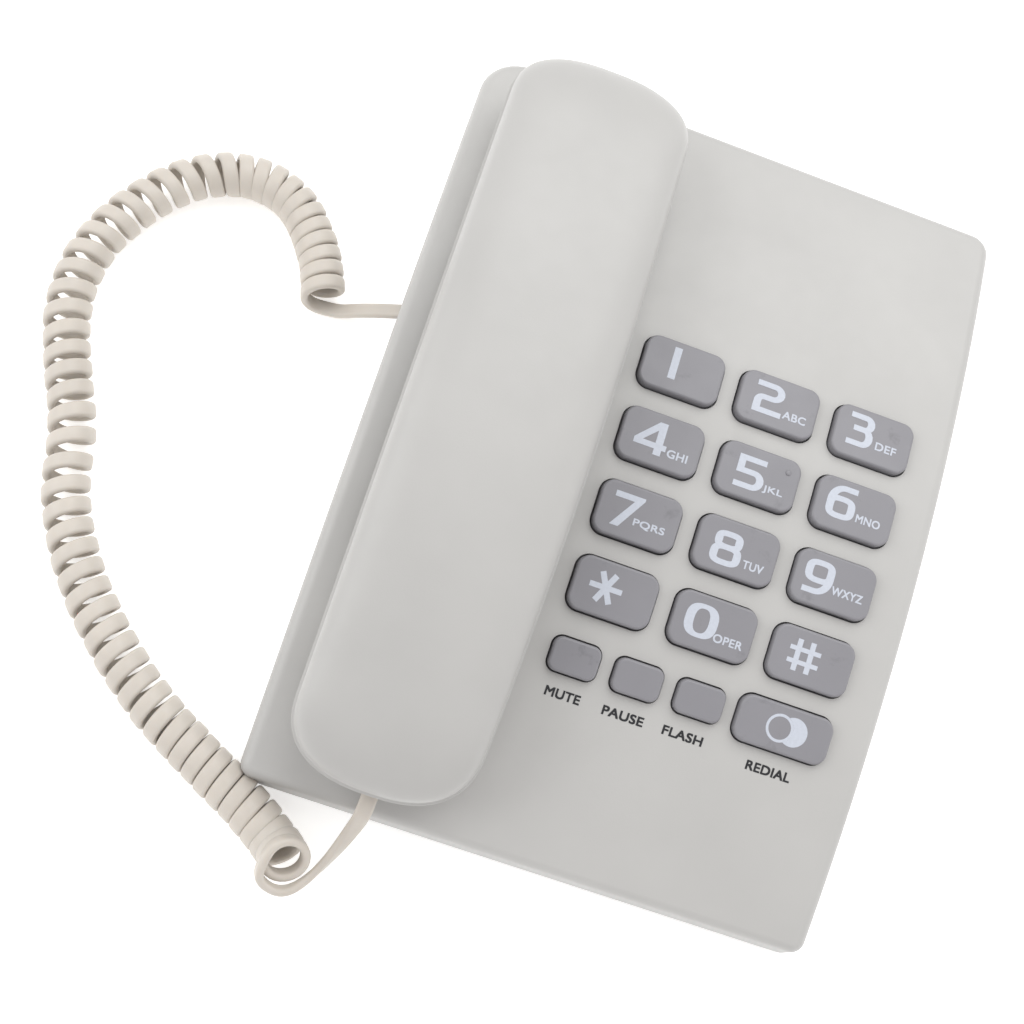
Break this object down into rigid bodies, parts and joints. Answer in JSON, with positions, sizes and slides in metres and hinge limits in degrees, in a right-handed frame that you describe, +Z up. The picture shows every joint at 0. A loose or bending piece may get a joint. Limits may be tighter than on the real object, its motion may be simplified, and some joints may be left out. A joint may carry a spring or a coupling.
{
  "type": "corded landline telephone",
  "caption": "Corded desk telephone: wedge-shaped case with a push-button keypad, lift-off handset in a cradle on the left, and a curly cord between them.",
  "frame": {"origin": "middle of the case's footprint, on the surface that the phone stands on", "axes": "+Z up; +Y from the user towards the back edge with the line socket; +X to the user's right, the keypad side"},
  "size_m": [0.2402, 0.2243, 0.072],
  "materials": {
    "case_plastic": "light warm grey ABS, fine satin moulded texture",
    "handset_plastic": "light warm grey ABS, smooth satin",
    "key_plastic": "mid grey moulded keys with pale legends",
    "black_rubber": "matte moulded rubber",
    "soft_rubber": "grey silicone rubber",
    "zinc_steel": "bright zinc plate",
    "board_laminate": "paper phenolic board, satin",
    "black_moulding": "black moulded plastic",
    "brass_plate": "satin brass disc",
    "cable_jacket": "grey ribbon cable",
    "jack_plastic": "dark moulded socket",
    "clear_plug": "clear polycarbonate plug",
    "cord_jacket": "cream flexible jacket, soft sheen"
  },
  "bodies": {
    "base": {"top_case": "case_plastic", "ear_cradle_tub": "case_plastic", "mouth_cradle_tub": "case_plastic", "bottom_case": "case_plastic", "rubber_feet": "black_rubber", "case_screws": "zinc_steel", "keypad_board": "board_laminate", "keypad_membrane": "soft_rubber", "board_screws": "zinc_steel", "main_board": "board_laminate", "board_spacers": "case_plastic", "dialler_chip": "black_moulding", "capacitors": "black_moulding", "line_rectifier": "black_moulding", "ringer_holder": "case_plastic", "ringer_disc": "brass_plate", "base_weight": "zinc_steel", "hook_spring": "zinc_steel", "hook_bracket": "case_plastic", "hook_switch": "black_moulding", "ringer_switch_body": "zinc_steel", "dial_switch_body": "zinc_steel", "switch_board": "board_laminate", "flat_cable": "cable_jacket", "handset_hanger": "case_plastic", "handset_cord_jack": "jack_plastic", "base_plug": "clear_plug", "line_jack": "jack_plastic", "cord_coil": "cord_jacket", "cord_base_lead": "cord_jacket", "cord_handset_lead": "cord_jacket"},
    "handset": {"handset_outer_shell": "handset_plastic", "handset_inner_shell": "handset_plastic", "receiver_capsule": "black_moulding", "receiver_gasket": "soft_rubber", "microphone_capsule": "zinc_steel", "microphone_boot": "soft_rubber", "handset_weight": "zinc_steel", "handset_screws": "zinc_steel", "handset_jack": "jack_plastic", "handset_plug": "clear_plug"},
    "key_1": {"key_1": "key_plastic"},
    "key_2": {"key_2": "key_plastic"},
    "key_3": {"key_3": "key_plastic"},
    "key_4": {"key_4": "key_plastic"},
    "key_5": {"key_5": "key_plastic"},
    "key_6": {"key_6": "key_plastic"},
    "key_7": {"key_7": "key_plastic"},
    "key_8": {"key_8": "key_plastic"},
    "key_9": {"key_9": "key_plastic"},
    "key_star": {"key_star": "key_plastic"},
    "key_0": {"key_0": "key_plastic"},
    "key_hash": {"key_hash": "key_plastic"},
    "key_mute": {"key_mute": "key_plastic"},
    "key_pause": {"key_pause": "key_plastic"},
    "key_flash": {"key_flash": "key_plastic"},
    "key_redial": {"key_redial": "key_plastic"},
    "hook_plunger": {"hook_plunger": "case_plastic"},
    "ringer_switch_knob": {"ringer_switch_knob": "black_moulding"},
    "dial_switch_knob": {"dial_switch_knob": "black_moulding"}
  },
  "joints": [
    {"name": "handset_lift", "type": "slide", "parent": "base", "child": "handset", "axis": [0, -0.159, 0.9873], "range_m": [0, 0.12]},
    {"name": "key_1_press", "type": "slide", "parent": "base", "child": "key_1", "axis": [0, 0.0925, -0.9957], "range_m": [0, 0.0015], "stiffness_N_per_m": 450},
    {"name": "key_2_press", "type": "slide", "parent": "base", "child": "key_2", "axis": [0, 0.0925, -0.9957], "range_m": [0, 0.0015], "stiffness_N_per_m": 450},
    {"name": "key_3_press", "type": "slide", "parent": "base", "child": "key_3", "axis": [0, 0.0925, -0.9957], "range_m": [0, 0.0015], "stiffness_N_per_m": 450},
    {"name": "key_4_press", "type": "slide", "parent": "base", "child": "key_4", "axis": [0, 0.1388, -0.9903], "range_m": [0, 0.0015], "stiffness_N_per_m": 450},
    {"name": "key_5_press", "type": "slide", "parent": "base", "child": "key_5", "axis": [0, 0.1388, -0.9903], "range_m": [0, 0.0015], "stiffness_N_per_m": 450},
    {"name": "key_6_press", "type": "slide", "parent": "base", "child": "key_6", "axis": [0, 0.1388, -0.9903], "range_m": [0, 0.0015], "stiffness_N_per_m": 450},
    {"name": "key_7_press", "type": "slide", "parent": "base", "child": "key_7", "axis": [0, 0.1848, -0.9828], "range_m": [0, 0.0015], "stiffness_N_per_m": 450},
    {"name": "key_8_press", "type": "slide", "parent": "base", "child": "key_8", "axis": [0, 0.1848, -0.9828], "range_m": [0, 0.0015], "stiffness_N_per_m": 450},
    {"name": "key_9_press", "type": "slide", "parent": "base", "child": "key_9", "axis": [0, 0.1848, -0.9828], "range_m": [0, 0.0015], "stiffness_N_per_m": 450},
    {"name": "key_star_press", "type": "slide", "parent": "base", "child": "key_star", "axis": [0, 0.2303, -0.9731], "range_m": [0, 0.0015], "stiffness_N_per_m": 450},
    {"name": "key_0_press", "type": "slide", "parent": "base", "child": "key_0", "axis": [0, 0.2303, -0.9731], "range_m": [0, 0.0015], "stiffness_N_per_m": 450},
    {"name": "key_hash_press", "type": "slide", "parent": "base", "child": "key_hash", "axis": [0, 0.2303, -0.9731], "range_m": [0, 0.0015], "stiffness_N_per_m": 450},
    {"name": "key_mute_press", "type": "slide", "parent": "base", "child": "key_mute", "axis": [0, 0.272, -0.9623], "range_m": [0, 0.0015], "stiffness_N_per_m": 450},
    {"name": "key_pause_press", "type": "slide", "parent": "base", "child": "key_pause", "axis": [0, 0.272, -0.9623], "range_m": [0, 0.0015], "stiffness_N_per_m": 450},
    {"name": "key_flash_press", "type": "slide", "parent": "base", "child": "key_flash", "axis": [0, 0.272, -0.9623], "range_m": [0, 0.0015], "stiffness_N_per_m": 450},
    {"name": "key_redial_press", "type": "slide", "parent": "base", "child": "key_redial", "axis": [0, 0.272, -0.9623], "range_m": [0, 0.0015], "stiffness_N_per_m": 450},
    {"name": "hook_rise", "type": "slide", "parent": "base", "child": "hook_plunger", "axis": [0, -0.159, 0.9873], "range_m": [0, 0.004]},
    {"name": "ringer_switch_slide", "type": "slide", "parent": "base", "child": "ringer_switch_knob", "axis": [1, 0, 0], "range_m": [0, 0.006]},
    {"name": "dial_switch_slide", "type": "slide", "parent": "base", "child": "dial_switch_knob", "axis": [1, 0, 0], "range_m": [0, 0.003]}
  ],
  "couplings": [
    {"joint": "hook_rise", "follows": "handset_lift", "ratio": 0.03333}
  ]
}
